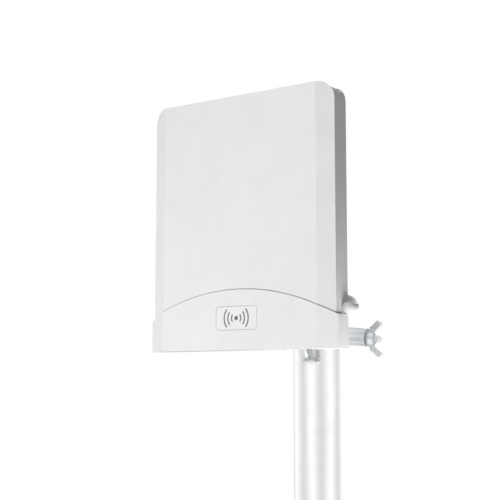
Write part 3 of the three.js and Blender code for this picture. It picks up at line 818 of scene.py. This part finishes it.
class World:
    """The studio's surroundings: white to the camera, dim as fill light, banded in mirrors."""

    def __init__(self):
        world = bpy.data.worlds.new("studio")
        bpy.context.scene.world = world
        world.use_nodes = True
        self.tree = world.node_tree
        self.tree.nodes.clear()
        self.rays = self.tree.nodes.new("ShaderNodeLightPath")

    def background(self, color, strength):
        node = self.tree.nodes.new("ShaderNodeBackground")
        node.inputs["Strength"].default_value = strength
        if isinstance(color, tuple):
            node.inputs["Color"].default_value = (*color, 1)
        else:
            self.tree.links.new(color, node.inputs["Color"])
        return node.outputs[0]

    def choose(self, flag, otherwise, when):
        node = self.tree.nodes.new("ShaderNodeMixShader")
        self.tree.links.new(self.rays.outputs[flag], node.inputs[0])
        self.tree.links.new(otherwise, node.inputs[1])
        self.tree.links.new(when, node.inputs[2])
        return node.outputs[0]

    def math(self, operation, first, second):
        """A maths node of a socket and a second socket or number."""
        node = self.tree.nodes.new("ShaderNodeMath")
        node.operation = operation
        self.tree.links.new(first, node.inputs[0])
        if isinstance(second, (int, float)):
            node.inputs[1].default_value = second
        else:
            self.tree.links.new(second, node.inputs[1])
        return node.outputs[0]

    def bands(self):
        """Grey level by direction round the vertical axis, the same at every height."""
        place = self.tree.nodes.new("ShaderNodeTexCoord")
        split = self.tree.nodes.new("ShaderNodeSeparateXYZ")
        self.tree.links.new(place.outputs["Generated"], split.inputs[0])
        turn = self.math("ARCTAN2", split.outputs["X"], split.outputs["Y"])
        wave = self.math("COSINE", self.math("MULTIPLY", turn, STUDIO_PANELS), 0)
        level = self.tree.nodes.new("ShaderNodeMapRange")
        level.inputs["From Min"].default_value = -1
        level.inputs["From Max"].default_value = 1
        level.inputs["To Min"].default_value = GAP_LEVEL
        level.inputs["To Max"].default_value = PANEL_LEVEL
        self.tree.links.new(wave, level.inputs["Value"])
        return level.outputs["Result"]

    def finish(self):
        soft = self.background((0.97, 0.985, 1.0), 0.09)
        mirrored = self.background(self.bands(), 1.0)
        seen = self.background((1, 1, 1), 1.0)
        output = self.tree.nodes.new("ShaderNodeOutputWorld")
        lit = self.choose("Is Glossy Ray", soft, mirrored)
        self.tree.links.new(self.choose("Is Camera Ray", lit, seen), output.inputs["Surface"])


def make_floor():
    """A grey floor that glows nearly white to the camera, and that glossy surfaces don't mirror."""
    shader = Shader("studio_floor", (0.5, 0.5, 0.5), 0.95)
    paper = shader.noise(40, 3)
    shader.color(shader.mixed(paper, (0.52, 0.52, 0.52), (0.48, 0.48, 0.48)))
    shader.bump((shader.noise(700, 2), 0.1, 0.0001))
    glow = shader.add("ShaderNodeEmission")
    glow.inputs["Strength"].default_value = 1.07
    rays = shader.add("ShaderNodeLightPath")
    share = shader.ramp(rays.outputs["Is Camera Ray"], 0, 1, 0.0, 0.94)
    mix = shader.add("ShaderNodeMixShader")
    shader.link(share, mix.inputs[0])
    shader.link(shader.surface.outputs[0], mix.inputs[1])
    shader.link(glow.outputs[0], mix.inputs[2])
    clear = shader.add("ShaderNodeBsdfTransparent")
    unseen = shader.add("ShaderNodeMixShader")
    shader.link(rays.outputs["Is Glossy Ray"], unseen.inputs[0])
    shader.link(mix.outputs[0], unseen.inputs[1])
    shader.link(clear.outputs[0], unseen.inputs[2])
    shader.link(unseen.outputs[0], shader.tree.nodes["Material Output"].inputs["Surface"])
    bm = bmesh.new()
    bmesh.ops.create_grid(bm, x_segments=8, y_segments=8, size=6)
    floor = piece_from(bm, "floor")
    floor.data.materials.append(shader.material)


SMALLEST_MIRRORED = 0.5  # softboxes up to this wide, in metres, light the object but leave no highlight


def softbox(name, place, target, size, power):
    data = bpy.data.lights.new(name, "AREA")
    data.shape = "RECTANGLE"
    data.size, data.size_y = size
    data.energy = power
    light = new_piece(name, data)
    light.location = place
    light.visible_camera = False
    light.visible_glossy = size[0] > SMALLEST_MIRRORED
    aim = Vector(target) - Vector(place)
    light.rotation_euler = aim.to_track_quat("-Z", "Y").to_euler()


def make_studio():
    bpy.context.scene.view_settings.view_transform = "Standard"
    World().finish()
    make_floor()
    panel = centre_of("radome")
    softbox("key", (-0.08, -1.6, 0.9), panel, (1.4, 1.1), 17.5)
    softbox("low_right", (0.18, -0.11, 0.06), (0.105, -0.13, 0.175), (0.1, 0.1), 0.29)
    softbox("low_front", (-0.1, -0.5, 0.03), (-0.02, -0.14, 0.17), (0.3, 0.2), 0.7)
    softbox("back", (-0.7, 1.3, 0.9), (0, 0, 0.2), (1.0, 1.0), 20)


make_studio()
